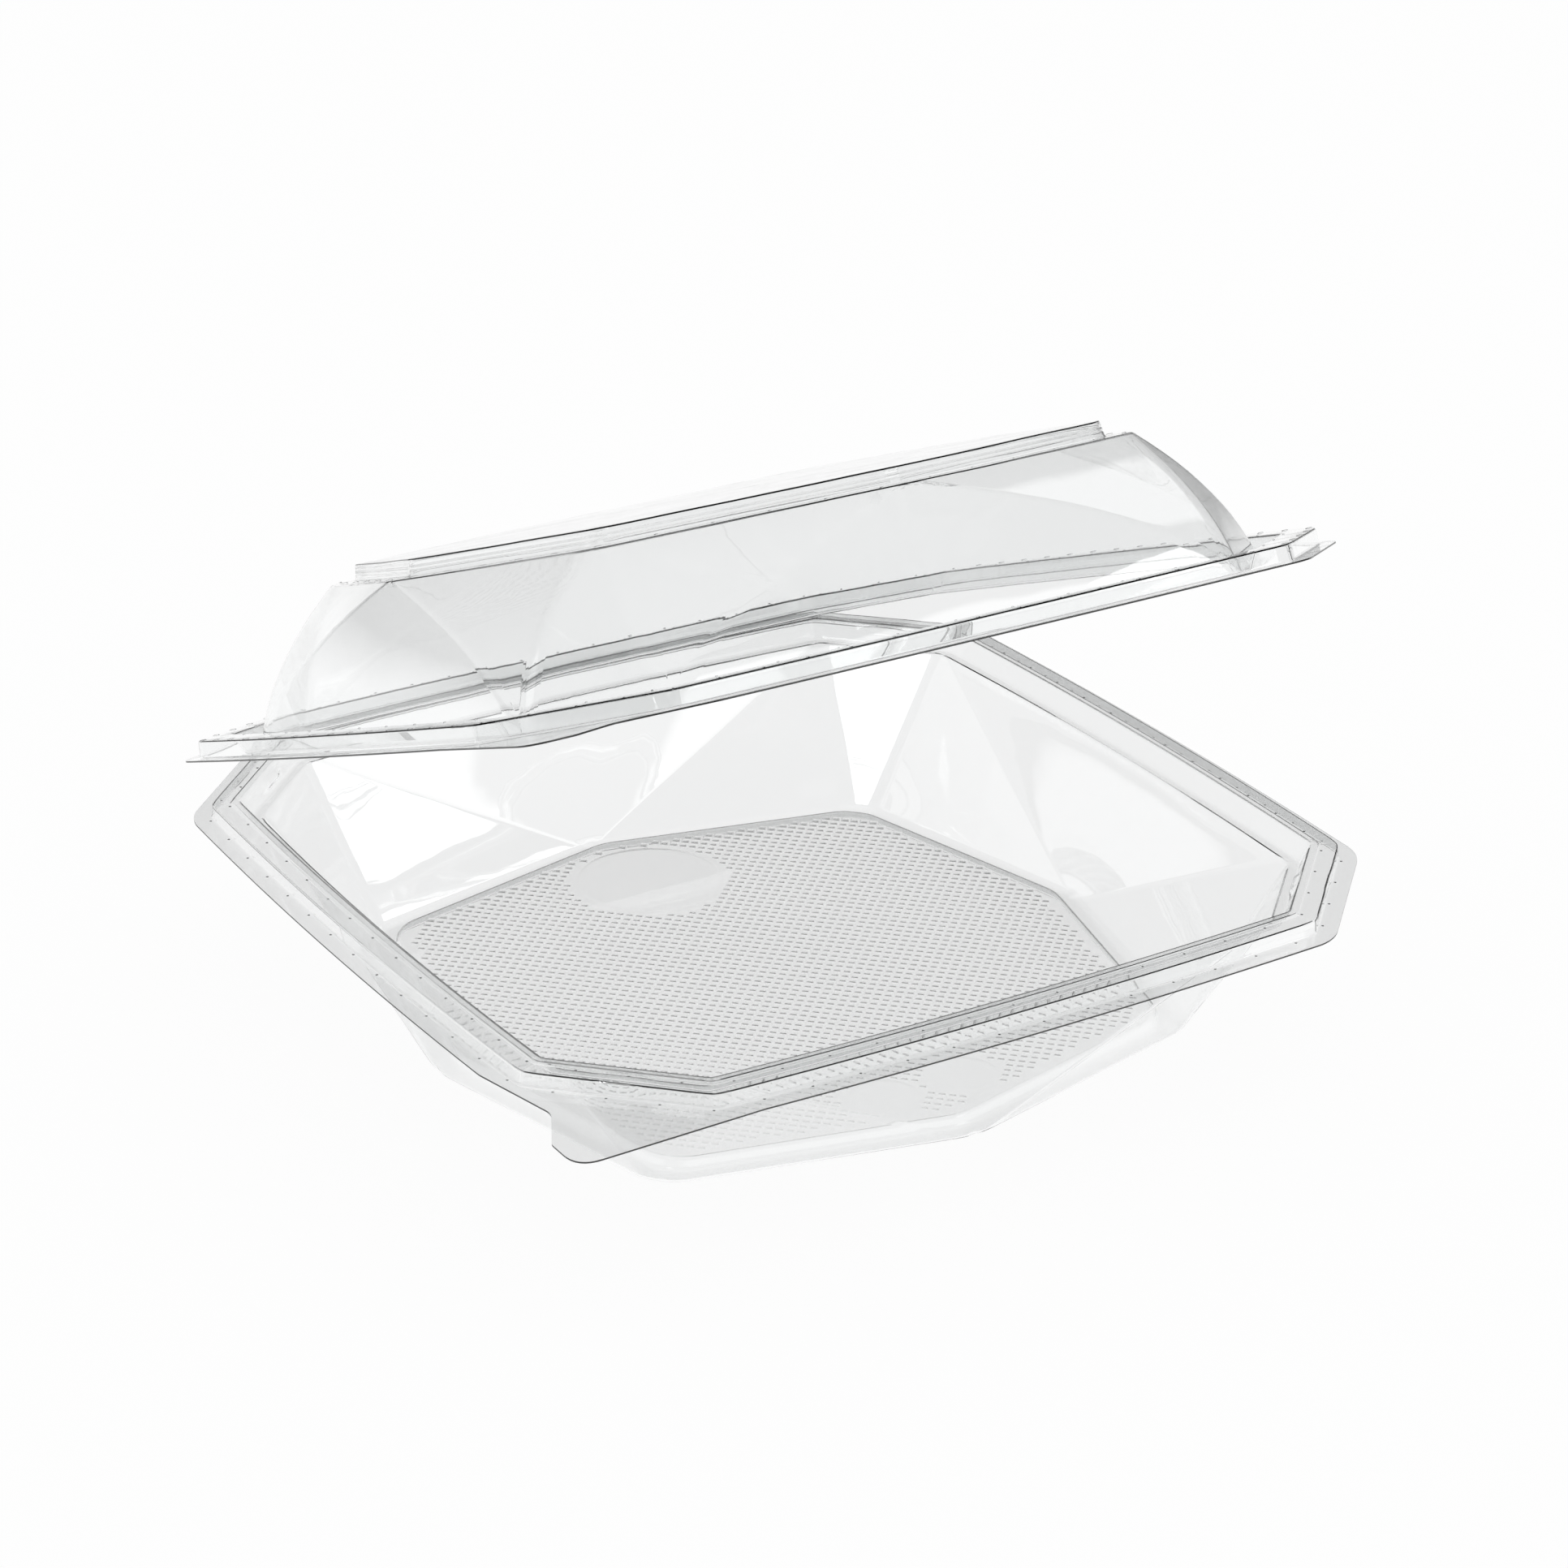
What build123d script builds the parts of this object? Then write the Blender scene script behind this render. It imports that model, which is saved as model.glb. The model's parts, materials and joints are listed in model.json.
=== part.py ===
"""Clear hinged food pack: a faceted octagonal tray and a domed lid, thermoformed in one sheet.

Millimetres. X runs along the hinge, +Y points to the hinge and +Z is up. The origin is the
middle of the foot, on the surface that the tray stands on. The lid is drawn closed and then
turned about the fold to the angle at which the pack is shown.
"""
import os
from math import atan2, degrees, sqrt

from build123d import *

# Sheet and overall sizes
sheet = 0.4  # thickness of the formed sheet
pack_side = 234.0  # across the flange, between the ends of two opposite sides
side_bow = 2.2  # how far the middle of a side stands out from its ends
bow_sweep = 40.0  # turn, in degrees, that takes in the whole pack from the centre of a side's bow
tray_depth = 40.0  # from the foot up to the top of the tray's flange
lid_height = 39.6  # from the underside of the lid's flange up to the platform
open_angle = 22.0  # how far the lid is lifted, in degrees

# Rim of the tray, from the cut edge inwards
flange_width = 4.5
riser_height = 3.4
riser_lean = 0.3
corner_cut = 31.0  # length that each cut corner takes off a side, at the top of the riser
outline_round = 6.0  # rounding where a side meets a cut corner, on the outer outlines
inner_round = 3.0  # the same, on the outlines further in
land_width = 4.2
bead_height = 0.6  # low bead along the inner edge of the land
bead_lean = 0.5
bead_top = 1.9
snap_drop = 5.0  # snap wall, from the bead's top down to the ledge
snap_lean = 2.4
ledge_width = 2.3

# Faceted wall, foot and raised floor of the tray
foot_mid = 91.8  # from the middle to the foot's corners, which face the middles of the sides
foot_diagonal = 103.0  # from the middle to the foot's short flats, which face the cut corners
mid_flat = 3.0  # width of the foot's corners
corner_flat = 7.0  # width of the foot's short flats
rim_nick = 3.0  # short facet edge that rounds each corner of the wall's top
foot_round = 2.6
gutter_width = 6.0  # channel between the wall and the raised floor
gutter_draft = 0.6
floor_rise = 3.0  # from the foot up to the underside of the floor

# Snap lugs, one on the snap wall of each cut corner
lug_height = 0.5
lug_width = 9.0
lug_depth = 2.2  # measured down the wall
lug_below_bead = 1.3

# Lid
closing_gap = 0.3  # clearance between the lid and the tray when the pack is closed
flange_gap = 0.2  # between the two flanges when the pack is closed
valley_width = 3.2  # floor of the groove round the dome
dome_fullness = 0.17  # outward bulge of the arched facets, as a share of their run
shoulder_mid = 89.0
shoulder_diagonal = 102.0
shoulder_round = 1.6
platform_rise = 4.0
platform_step = 6.0  # width of the shoulder round the platform
platform_draft = 0.6

# Finger tabs on the front left corner, with places measured along the side from the tab's tip
tab_reach = 1.8  # how far a tab stands out past the flange
tab_round = 6.0
tab_length = 46.8
notch_place = 23.3
notch_depth = 6.4  # from the tab's outer line to the bottom of the notch
notch_round = 5.0
swell_place = 11.3  # where the tab is full again beyond the notch

# Living hinge
fold_margin = 0.6  # from the widest point of the back flange to the straight fold line
fold_round = 3.0
fold_slit = 0.3  # slit between the two flanges, bridged by the thin film of the fold

# Levels above the surface that the tray stands on
flange_z = tray_depth
land_z = flange_z + riser_height
bead_z = land_z + bead_height
ledge_z = bead_z - snap_drop
lid_flange_z = flange_z + flange_gap
lid_land_z = bead_z + closing_gap
valley_z = ledge_z + closing_gap
platform_z = lid_flange_z + lid_height
shoulder_z = platform_z - platform_rise

# Insets, measured inwards from the outer edge of the tray's land
land_half = pack_side / 2 - flange_width - riser_lean
flange_inset = -(riser_lean + flange_width)
bead_inset = land_width
bead_top_inset = bead_inset + bead_lean
snap_inset = bead_top_inset + bead_top
snap_foot_inset = snap_inset + snap_lean
wall_inset = snap_foot_inset + ledge_width
plug_inset = snap_inset + closing_gap
plug_foot_inset = snap_foot_inset + closing_gap
dome_inset = plug_foot_inset + sheet + valley_width
plug_cut = lug_height * sqrt(2)  # the lid's plug stands back from the lugs by their height

# Fold line, halfway between the two flanges
hinge_y = pack_side / 2 + side_bow + fold_margin
fold_y = hinge_y + fold_slit / 2
fold_z = flange_z + flange_gap / 2


def turned(point, quarters):
    """The point turned about Z by a number of quarter turns."""
    return Vector(point).rotate(Axis.Z, 90 * quarters)


def rim_face(z, inset, rounding=inner_round, extra_cut=0.0):
    """Octagon with bowed sides, straight cut corners and rounded joints, at one level."""
    half = land_half - inset
    reach = half - corner_cut + inset * (2 - sqrt(2)) - extra_cut
    with BuildSketch(Plane.XY.offset(z), mode=Mode.PRIVATE) as outline:
        with BuildLine():
            for quarters in range(4):
                side = [(half, -reach), (half + side_bow, 0), (half, reach)]
                ThreePointArc(*[turned(point, quarters) for point in side])
                Line(turned((half, reach), quarters), turned((reach, half), quarters))
        make_face()
        fillet(outline.vertices(), rounding)
    return outline.sketch


def rim_block(low, high, rounding=inner_round, extra_cut=0.0, mode=Mode.ADD):
    """Solid between two rim outlines, each given as a level and an inset."""
    faces = [rim_face(z, inset, rounding, extra_cut) for z, inset in (low, high)]
    loft(faces, ruled=True, mode=mode)


def base_corners(mid, diagonal):
    """The base's two corners in the first half of its first quadrant, as seen from above."""
    side = Vector(mid, mid_flat / 2)
    corner = Vector(diagonal + corner_flat / 2, diagonal - corner_flat / 2) / sqrt(2)
    return side, corner


def base_face(z, inset, mid, diagonal):
    """Base outline of a faceted wall: an octagon with short flats for corners."""
    side, corner = base_corners(mid, diagonal)
    edge = (corner - side).normalized()
    side -= Vector(inset / edge.Y, 0)
    corner -= Vector(1, 1) * (inset / (edge.Y - edge.X))
    points = [side, corner, (corner.Y, corner.X), (side.Y, side.X)]
    with BuildSketch(Plane.XY.offset(z), mode=Mode.PRIVATE) as outline:
        with BuildLine():
            Polyline(*[turned(point, quarters) for quarters in range(4) for point in points], close=True)
        make_face()
    return outline.sketch


def facet_profile(origin, angle, back, rim, base, fullness, grow):
    """Upright section of what lies behind one facet, out to the facet grown by a thickness.

    The section looks away from the origin at an angle. Its back is a vertical line, and the rim
    and the base of the facet are points, each a distance from the origin and a level.
    """
    rise = 1 if base.Y > rim.Y else -1
    along = (base - rim).normalized()
    outwards = Vector(along.Y, -along.X) * rise
    bulge = outwards * (fullness * (rim.X - base.X))
    rim, base = rim + outwards * grow, base + outwards * grow
    x_dir, z_dir = [Vector(*axis).rotate(Axis.Z, angle) for axis in ((1, 0), (0, -1))]
    with BuildSketch(Plane(origin, x_dir=x_dir, z_dir=z_dir), mode=Mode.PRIVATE) as profile:
        with BuildLine():
            Polyline(base, (back, base.Y), (back, rim.Y), rim)
            if fullness > 0:
                ThreePointArc(rim, (rim + base) / 2 + bulge, base)
            else:
                Line(rim, base)
        make_face()
    return profile.sketch


def faceted_block(wall, low, high, grow):
    """Block inside a faceted wall between two levels, grown outwards by a thickness.

    The wall is its rim's level and inset, its base's level, mid and diagonal, and its fullness.
    The base has its corners where the rim has the middles of its sides and of its cut corners,
    so that triangles pointing up and down take turns round the wall. Every facet cuts the block
    down to what lies behind it: the facets on the sides are bowed, the others are flat across.
    """
    rim_z, rim_inset, base_z, mid, diagonal, fullness = wall
    side, corner = base_corners(mid, diagonal)
    edge = (corner - side).normalized()
    outwards = Vector(edge.Y, -edge.X)
    slant = degrees(atan2(outwards.Y, outwards.X))
    half = land_half - rim_inset
    reach = half - corner_cut + rim_inset * (2 - sqrt(2))
    rim_side = Vector(half, reach - rim_nick * (edge.X + edge.Y))
    bow_radius = (rim_side.Y**2 + side_bow**2) / (2 * side_bow)
    bow_centre = half + side_bow - bow_radius
    bowed_facet = (Vector(bow_radius, rim_z), Vector(mid - bow_centre, base_z))
    flat_facets = [(45, Vector((half + reach) / sqrt(2), rim_z), Vector(diagonal, base_z))]
    for angle in (slant, 90 - slant):
        distances = outwards.dot(rim_side), outwards.dot(side)
        flat_facets.append((angle, Vector(distances[0], rim_z), Vector(distances[1], base_z)))
    with BuildPart() as block:
        with Locations((0, 0, (low + high) / 2)):
            Box(2 * pack_side, 2 * pack_side, high - low)
        for quarters in range(4):
            centre = turned((bow_centre, 0), quarters)
            start_angle = 90 * quarters - bow_sweep / 2
            profile = facet_profile(centre, start_angle, 0, *bowed_facet, fullness, grow)
            axis = Axis(centre, (0, 0, 1))
            revolve(profile, axis=axis, revolution_arc=bow_sweep, mode=Mode.INTERSECT)
            for angle, *ends in flat_facets:
                angle += 90 * quarters
                profile = facet_profile((0, 0), angle, -pack_side, *ends, fullness, grow)
                extrude(profile, amount=pack_side, both=True, mode=Mode.INTERSECT)
    return block.part


def flange_outline(notch_on_left):
    """Flat flange with bowed sides, a straight fold line at the back and the finger tab."""
    half = land_half - flange_inset
    reach = half - corner_cut + flange_inset * (2 - sqrt(2))
    fold_reach = reach - (hinge_y - half)
    tab_line = half + tab_reach
    tab_start = tab_line - tab_length
    back = [(-reach, half), (-fold_reach, hinge_y), (fold_reach, hinge_y), (reach, half)]
    dip = (-tab_line + notch_depth, -tab_line + notch_place)
    swell = (-tab_line, -tab_line + swell_place)
    tip = (-tab_line, -tab_line)
    with BuildSketch(mode=Mode.PRIVATE) as fold_panel:
        with BuildLine():
            Polyline(*back, (reach, 0), (-reach, 0), close=True)
        make_face()
        fillet(fold_panel.vertices().group_by(Axis.Y)[-1], fold_round)
    with BuildSketch(mode=Mode.PRIVATE) as tab:
        with BuildLine():
            start = (-half, -tab_start)
            end = (-tab_start, -half)
            Polyline(start, dip, swell, tip, end, (-tab_start, -tab_start), close=True)
        make_face()
        fillet(tab.vertices().sort_by_distance(dip)[0], notch_round)
        fillet(tab.vertices().sort_by_distance(swell)[0], notch_round / 2)
        fillet(tab.vertices().sort_by_distance(tip)[0], tab_round)
        if not notch_on_left:
            mirror(about=Plane((0, 0, 0), z_dir=(1, -1, 0)), mode=Mode.REPLACE)
    with BuildSketch(mode=Mode.PRIVATE) as outline:
        add(rim_face(0, flange_inset, 2 * outline_round))
        add(fold_panel.sketch)
        add(tab.sketch)
    return outline.sketch


def tray_basin(skin):
    """Snap wall, ledge, faceted wall and foot: the space inside, grown by the skin."""
    wall = (ledge_z, wall_inset, 0, foot_mid, foot_diagonal, 0)
    with BuildPart() as basin:
        rim_block((bead_z, snap_inset - skin), (ledge_z - skin, snap_foot_inset - skin))
        add(faceted_block(wall, sheet - skin, ledge_z - skin, skin))
        fillet(basin.faces().sort_by(Axis.Z)[0].edges(), foot_round + skin)
    return basin.part


def floor_block(skin):
    """Space under the raised floor, inside the gutter, grown by the skin."""
    with BuildPart() as block:
        low = base_face(0, gutter_width - gutter_draft - skin, foot_mid, foot_diagonal)
        loft([low, base_face(floor_rise + skin, gutter_width - skin, foot_mid, foot_diagonal)], ruled=True)
    return block.part


def snap_lugs():
    """Low pads on the snap wall, one in the middle of each cut corner."""
    lean = degrees(atan2(snap_lean, snap_drop))
    middle = lug_below_bead + lug_depth / 2
    inset = snap_inset + snap_lean * middle / snap_drop
    cut_distance = (2 * land_half - corner_cut) / sqrt(2) - inset
    thickness = lug_height + sheet / 2
    seat = Location((sheet / 2, 0, bead_z - middle), (0, lean, 0))
    with BuildPart() as lugs:
        with PolarLocations(cut_distance, 4, start_angle=45):
            with Locations(seat):
                Box(thickness, lug_width, lug_depth, align=(Align.MAX, Align.CENTER, Align.CENTER))
    return lugs.part


def dome_block(skin):
    """Arched facets, shoulder and platform of the lid, shrunk inwards by the skin."""
    base = (shoulder_mid, shoulder_diagonal)
    wall = (valley_z, dome_inset, shoulder_z, *base, dome_fullness)
    shoulder = shoulder_z - skin
    with BuildPart() as dome:
        add(faceted_block(wall, valley_z + sheet - skin, shoulder, -skin))
        fillet(dome.faces().sort_by(Axis.Z)[-1].edges(), shoulder_round - skin)
        low = base_face(shoulder, platform_step - platform_draft + skin, *base)
        loft([low, base_face(platform_z - skin, platform_step + skin, *base)], ruled=True)
    return dome.part


# Tray: flange, riser, land and bead, then the snap wall, the faceted wall and the raised floor
basin_skin = tray_basin(sheet)
basin_space = tray_basin(0)
floor_top = floor_block(sheet)
floor_space = floor_block(0)
lugs = snap_lugs()
with BuildPart() as tray:
    with BuildSketch(Plane.XY.offset(flange_z - sheet)):
        add(flange_outline(notch_on_left=True))
    extrude(amount=sheet)
    rim_block((flange_z, -riser_lean), (land_z, 0), outline_round)
    rim_block((land_z, bead_inset), (bead_z, bead_top_inset))
    rim_block((flange_z - sheet, sheet - riser_lean), (land_z - sheet, sheet), outline_round, mode=Mode.SUBTRACT)
    rim_block((land_z - sheet, bead_inset + sheet), (bead_z - sheet, bead_top_inset + sheet), mode=Mode.SUBTRACT)
    add(basin_skin)
    add(basin_space, mode=Mode.SUBTRACT)
    add(floor_top)
    add(floor_space, mode=Mode.SUBTRACT)
    add(lugs)
tray.part.label = "tray"

# Lid, closed: flange, riser and the channel that covers the bead, then plug, valley and dome
riser_inset = -(riser_lean + closing_gap)
land_inset = -closing_gap
dome_outside = dome_block(0)
dome_inside = dome_block(sheet)
with BuildPart() as lid:
    with BuildSketch(Plane.XY.offset(lid_flange_z)):
        add(flange_outline(notch_on_left=False))
    extrude(amount=sheet)
    rim_block((lid_flange_z, riser_inset - sheet), (lid_land_z + sheet, land_inset - sheet), outline_round)
    rim_block((lid_flange_z, riser_inset), (lid_land_z, land_inset), outline_round, mode=Mode.SUBTRACT)
    rim_block((lid_land_z, plug_inset), (valley_z, plug_foot_inset), extra_cut=plug_cut)
    rim_block(
        (lid_land_z + sheet, plug_inset + sheet), (valley_z + sheet, plug_foot_inset + sheet),
        extra_cut=plug_cut, mode=Mode.SUBTRACT,
    )
    add(dome_outside)
    add(dome_inside, mode=Mode.SUBTRACT)
fold = Axis((0, fold_y, fold_z), (1, 0, 0))
raised_lid = lid.part.rotate(fold, -open_angle)
raised_lid.label = "lid"

os.makedirs("parts", exist_ok=True)
export_step(tray.part, "parts/tray.step")
export_step(raised_lid, "parts/lid.step")
for piece in (tray.part, raised_lid):
    size = piece.bounding_box().size
    print(piece.label, "volume", round(piece.volume), "size", [round(length, 1) for length in size])
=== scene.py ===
"""Clear hinged food pack: an octagonal tray and a domed lid, thermoformed in one clear sheet.

Both halves are built from outlines round the pack, as one surface that gets the sheet's
thickness at the end. The lid is built closed and then turned about the fold.
"""
import json
import math
from collections import Counter, namedtuple

import bmesh
import bpy
import numpy as np
from bpy.props import FloatProperty, FloatVectorProperty, PointerProperty
from mathutils import Matrix, Vector
from mathutils.geometry import delaunay_2d_cdt


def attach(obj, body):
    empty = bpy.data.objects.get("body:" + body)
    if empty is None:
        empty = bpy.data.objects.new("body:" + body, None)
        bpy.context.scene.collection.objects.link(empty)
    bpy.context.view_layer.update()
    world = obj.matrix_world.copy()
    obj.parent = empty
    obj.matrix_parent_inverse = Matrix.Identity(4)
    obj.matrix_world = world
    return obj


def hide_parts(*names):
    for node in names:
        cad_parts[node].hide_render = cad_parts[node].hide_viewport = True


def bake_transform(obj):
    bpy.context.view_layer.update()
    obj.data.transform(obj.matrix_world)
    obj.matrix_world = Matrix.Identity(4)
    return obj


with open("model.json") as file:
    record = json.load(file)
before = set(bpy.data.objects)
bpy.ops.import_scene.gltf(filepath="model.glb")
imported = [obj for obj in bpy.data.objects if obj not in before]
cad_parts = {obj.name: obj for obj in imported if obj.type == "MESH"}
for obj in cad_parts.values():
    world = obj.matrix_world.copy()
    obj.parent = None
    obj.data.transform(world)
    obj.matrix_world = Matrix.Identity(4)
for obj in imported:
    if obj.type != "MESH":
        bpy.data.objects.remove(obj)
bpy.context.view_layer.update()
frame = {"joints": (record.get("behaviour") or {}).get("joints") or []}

hinge = frame["joints"][0]

bl_info = {
    "name": "Clear hinged food pack",
    "version": (1, 0, 0),
    "blender": (4, 5, 0),
    "location": "View3D > Sidebar > Food pack",
    "description": "Builds a clear thermoformed food pack with its studio",
    "category": "Add Mesh",
}

# Run of a corner's rounding, and what a cut corner gains in reach, both per unit.
OCTAGON_TURN = math.tan(math.pi / 8)
CUT_GAIN = 2 - math.sqrt(2)

# Points along a long side, a rounded corner, the slope between corners and a cut corner.
SIDE_STEPS = 22
CORNER_STEPS = 5
NICK_STEPS = 12
CUT_STEPS = 16
# How far a cut corner's points crowd towards its middle, where the snap lug is.
CUT_CROWDING = 0.09
# Straight edges bulge by a hair, so that no three of their points lie on one line.
SLOPE_BULGE = 4e-5
CUT_BULGE = 2e-5
# The most of a side, and of half a cut corner, that the rounding at one end takes up.
SIDE_SHARE = 0.45
CUT_SHARE = 0.9
# Share of a rim corner's rounding in which it eases into the straight edges.
RIM_EASE = 0.3
# Steps in a rounding of the flange's outline, and its longest step along a bowed side.
OUTLINE_STEPS = 8
OUTLINE_GAP = 0.008
# Ways between rings: at most this, less on the snap wall, and none added on the platform.
RING_GAP = 0.006
SNAP_GAP = 0.0007
PLATFORM_GAP = 0.05
# An outline of a shell, its rounding in steps, and the gap to the next that needs no ring.
Key = namedtuple("Key", "points rounding steps gap", defaults=(0, 3, RING_GAP))
# Edges that turn by more than this are shaded sharp.
SHARP_EDGE = math.radians(50)

# Slow waves in the facets: turn along x, y and z per metre, start, and weight.
WAVES = (
    (71, 43, 38, 0.4, 1.0),
    (-52, 96, 61, 1.9, 1.0),
    (143, 118, -92, 2.6, 0.6),
    (-263, 214, 187, 5.1, 0.35),
)
# The waves' total, and where they start above a wall's foot, grow there and die out on top.
WAVE_TOTAL = 6
WAVE_START = 0.003
WAVE_GROWTH = 0.006
WAVE_END = 0.004
# Where a snap lug dies out, in halves of its width and of its depth.
LUG_ACROSS = (0.6, 1.1)
LUG_DOWN = (0.3, 1.1)

# Corners of one square of the floor's texture, in steps of its pitch.
SQUARE = ((0, 0), (1, 0), (1, 1), (0, 1))
# Share of the floor's outline that holds squares, and the gap between them and a disc.
TEXTURE_SHARE = 0.997
DISC_GAP = 0.0003
# Points round a disc, the flat margin outside its edge, and the run of its slope.
DISC_STEPS = 72
DISC_MARGIN = 0.00015
DISC_SLOPE = 0.0012
# Share of a disc's radius between the middles of triangles inside it and outside.
CHORD_SHARE = 0.9985

# Points round a mould mark, its levels in shares of width and height, and its look ahead.
STUD_STEPS = 10
STUD_LEVELS = ((1.0, -0.1), (1.0, 0.0), (0.75, 0.65), (0.4, 0.93))
STUD_AHEAD = 2e-4
# Steps along the fold and round its bend.
FOLD_STEPS = 32
BEND_STEPS = 6

# Steps up the dome's facets, and the platform's rings as shares of its outline.
DOME_STEPS = 12
PLATFORM_RINGS = (0.9, 0.75, 0.6, 0.45, 0.3, 0.15)
# Fine lines round the platform's side and half their width, in shares of its height.
GROOVE_LEVELS = (0.35, 0.6)
GROOVE_HALF = 0.05

# How the sheet bends light, the depth of its ripples and their number in a metre.
SHEET_IOR = 1.6
RIPPLE_DEPTH = 1e-4
RIPPLE_SCALE = 110.0
# Soft boxes that the pack mirrors: bearing, height, half width and half height in degrees,
# softness of the edge and strength.
SOFT_BOXES = (
    (-38, 31.5, 5.8, 4.1, 0.15, 4.0),
    (-149, 36, 5, 6, 0.15, 4.0),
    (152, 28, 13, 9, 0.5, 0.9),
    (-60, 23, 15, 16, 0.2, 1.5),
    (14, 38, 11, 4.5, 0.5, 1.2),
)
# Power that makes a soft box square: 2 would make it round.
BOX_SQUARENESS = 4.0
# The lamp above the pack: bearing and height in degrees, distance, width and strength.
LAMP = (-60, 65, 2.0, 1.0, 1.2)
LAMP_AIM = Vector((0, 0, 0.05))
# The studio's greys from the horizon up, by their share of the way from nadir to zenith.
GREYS = ((0.55, "horizon"), (0.7, "middle"), (0.88, "middle"), (0.96, "ceiling"))
# How far up or down the rays go that the pack bends off the white, as they turn grey.
WORLD_BENT = (0.03, 0.4)
TABLE_BENT = (0.84, 1.0)
# Distances in which the mirrored table turns from near to far.
TABLE_FADE = (0.55, 1.1)
BOUNCES = {"max": 12, "transmission": 12, "transparent_max": 12, "glossy": 6, "diffuse": 3}


def number(name, default, description, **settings):
    """A property that holds a number."""
    return FloatProperty(name=name, description=description, default=default, **settings)


def length(name, millimetres, description):
    """A property that holds a length, with its default given in millimetres."""
    return number(name, millimetres / 1000, description, precision=5, unit="LENGTH")


def share(name, default, description):
    """A property that holds a share from 0 to 1."""
    return number(name, default, description, min=0, max=1, subtype="FACTOR")


def colour(name, default, description):
    """A property that holds a colour."""
    return FloatVectorProperty(
        name=name, description=description, default=default, size=3, min=0, max=1, subtype="COLOR",
    )


class RimSizes(bpy.types.PropertyGroup):
    """Sizes that both halves share; roundings of edges are measured to either side."""

    sheet: length("Sheet", 0.4, "Thickness of the formed sheet")
    land_half: length("Land half width", 112.2, "From the middle to the land's outer edge")
    side_bow: length("Side bow", 2.2, "How far a side's middle stands out")
    corner_cut: length("Corner cut", 31.0, "What a cut corner takes off a side")
    outer_round: length("Outer rounding", 6.0, "Rounding of the rim's corners, outside")
    inner_round: length("Inner rounding", 3.0, "Rounding of the rim's corners, inside")
    nick: length("Facet nick", 3.0, "Short facet edge at each corner of a wall's top")
    mid_flat: length("Corner of the base", 3.0, "Width of the base's corners")
    corner_flat: length("Flat of the base", 7.0, "Width of the base's short flats")
    flange_width: length("Flange width", 4.5, "Flat flange outside the riser")
    riser_lean: length("Riser lean", 0.3, "How far the riser leans in")
    ridge: length("Ridge", 2.6, "Rounding of the ridges")
    crease: length("Crease", 0.5, "Rounding of the creases")
    fold_margin: length("Fold margin", 0.6, "From the back flange to the fold line")
    tab_reach: length("Tab reach", 1.8, "How far a finger tab stands out")
    tab_length: length("Tab length", 46.8, "Length of a finger tab")
    tab_round: length("Tab rounding", 6.0, "Rounding of a finger tab's tip")
    notch_place: length("Notch place", 23.3, "From the tab's tip to the bottom of its notch")
    notch_depth: length("Notch depth", 6.4, "From the tab's outer line into its notch")
    notch_round: length("Notch rounding", 5.0, "Rounding of the notch")
    swell_place: length("Swell place", 11.3, "From the tab's tip to where its notch starts")
    wave: length("Wave", 0.3, "Depth of the slow waves in the facets")


class TraySizes(bpy.types.PropertyGroup):
    """Levels and insets of the tray's top side, and its texture."""

    flange_z: length("Flange level", 40.0, "Top of the flange above the table")
    riser_height: length("Riser", 3.4, "From the flange up to the land")
    land_width: length("Land width", 4.2, "From the riser to the bead")
    bead_height: length("Bead height", 0.6, "From the land up to the bead's top")
    bead_lean: length("Bead lean", 0.5, "Run of the bead's outer slope")
    bead_top: length("Bead top", 1.9, "Width of the bead's top")
    snap_drop: length("Snap wall", 5.0, "From the bead down to the ledge")
    snap_lean: length("Snap lean", 2.4, "How far the snap wall leans in")
    ledge_width: length("Ledge width", 2.3, "From the snap wall to the faceted wall")
    ledge_round: length("Ledge rounding", 0.6, "Rounding of the faceted wall's top")
    foot_mid: length("Foot, corners", 91.8, "From the middle to its corners")
    foot_diagonal: length("Foot, flats", 103.0, "From the middle to its short flats")
    foot_round: length("Foot rounding", 2.0, "Rounding of the foot")
    gutter_width: length("Gutter", 5.6, "From the foot to the raised floor")
    gutter_draft: length("Gutter draft", 0.6, "Run of the floor's side")
    step_round: length("Step rounding", 0.9, "Rounding of the floor's edges")
    floor_rise: length("Floor rise", 3.0, "From the gutter up to the floor")
    lug_height: length("Lug height", 0.8, "How far the snap lugs stand out")
    lug_width: length("Lug width", 11.0, "Width of a snap lug")
    lug_depth: length("Lug depth", 3.0, "Height of a snap lug")
    lug_place: length("Lug place", 2.4, "From the bead's top to a lug's middle")
    dimple_pitch: length("Texture pitch", 2.54, "From one raised square to the next")
    dimple_base: length("Texture base", 1.7, "Width of a raised square's foot")
    dimple_top: length("Texture top", 1.35, "Width of a raised square's top")
    dimple_height: length("Texture height", 0.18, "Height of a raised square")
    disc_radius: length("Disc radius", 19.0, "Plain disc at the back of the floor")
    disc_place: length("Disc place", 60.0, "From the floor's middle to it")
    small_disc_radius: length("Small disc radius", 8.5, "Plain discs at the front of the floor")
    small_disc_place: length("Small disc place", 70.0, "From the floor's middle to them")
    small_disc_spread: length("Small disc spread", 11.0, "From the middle line to each of them")
    disc_step: length("Disc step", 0.15, "How far the discs lie below the floor")


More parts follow.
